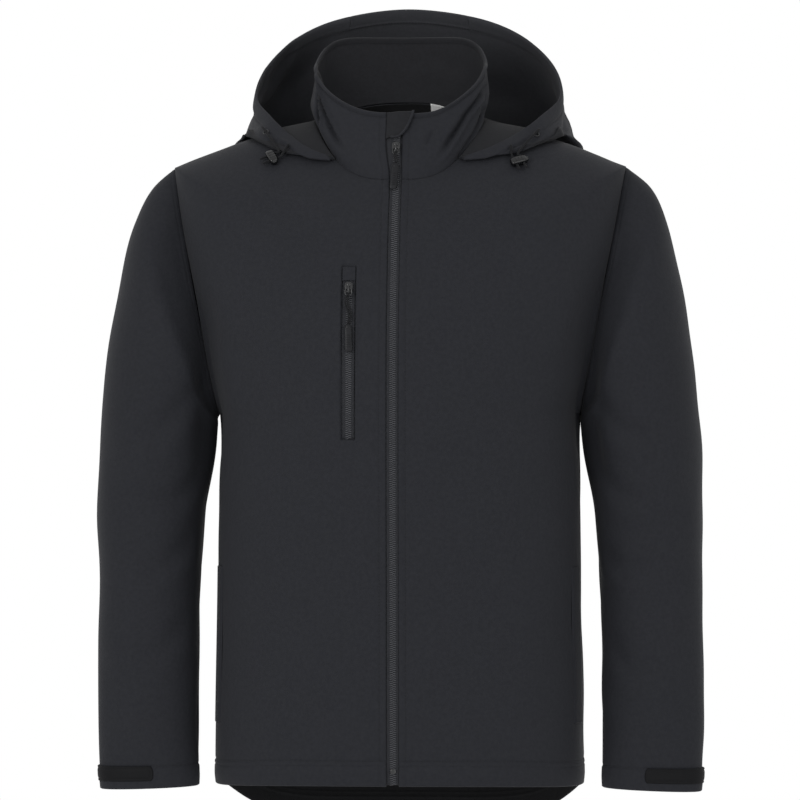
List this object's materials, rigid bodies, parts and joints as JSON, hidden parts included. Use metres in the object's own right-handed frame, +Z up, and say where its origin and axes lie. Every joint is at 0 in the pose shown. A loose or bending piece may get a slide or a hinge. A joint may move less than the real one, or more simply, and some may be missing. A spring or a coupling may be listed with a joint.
{
  "type": "hooded softshell jacket",
  "caption": "Hooded zip-front softshell jacket with long sleeves, a chest pocket and a dropped back hem, filled out as worn.",
  "frame": {"origin": "inside the neck on the middle plane, level with the base of the collar, where the wearer's neck and shoulders hold the jacket", "axes": "+X towards the wearer's left, front towards -Y, +Z up"},
  "size_m": [0.6588, 0.3533, 0.9053],
  "materials": {
    "cloth": "matte bonded softshell",
    "zip": "woven zip tape with a moulded coil",
    "metal": "dark coated metal",
    "rubber": "dark moulded rubber",
    "cord": "braided cord",
    "label": "plain woven"
  },
  "bodies": {
    "garment": {"front_left": "cloth", "front_right": "cloth", "back": "cloth", "sleeve_left": "cloth", "cuff_tab_left": "cloth", "sleeve_right": "cloth", "cuff_tab_right": "cloth", "collar": "cloth", "chin_guard": "cloth", "hood_left": "cloth", "hood_centre": "cloth", "hood_right": "cloth", "chest_garage": "cloth", "pocket_welt_left": "cloth", "pocket_welt_right": "cloth", "front_zip": "zip", "chest_zip": "zip", "front_zip_slider": "metal", "chest_zip_slider": "metal", "eyelet_left": "metal", "eyelet_right": "metal", "cord_lock_left": "rubber", "cord_lock_right": "rubber", "cord_left_eyelet": "cord", "cord_left_hem": "cord", "cord_left_end_front": "cord", "cord_left_end_rear": "cord", "cord_right_eyelet": "cord", "cord_right_hem": "cord", "cord_right_end_front": "cord", "cord_right_end_rear": "cord", "neck_label": "label"},
    "front_pull": {"front_zip_pull": "rubber"},
    "chest_pull": {"chest_zip_pull": "rubber"}
  },
  "joints": [
    {"name": "front_pull_hinge", "type": "hinge", "parent": "garment", "child": "front_pull", "pos_m": [0, -0.08102, -0.00137], "axis": [-1, 0, 0], "range_deg": [0, 150]},
    {"name": "chest_pull_hinge", "type": "hinge", "parent": "garment", "child": "chest_pull", "pos_m": [-0.04696, -0.13957, -0.15411], "axis": [-1, 0, 0], "range_deg": [0, 150]}
  ]
}
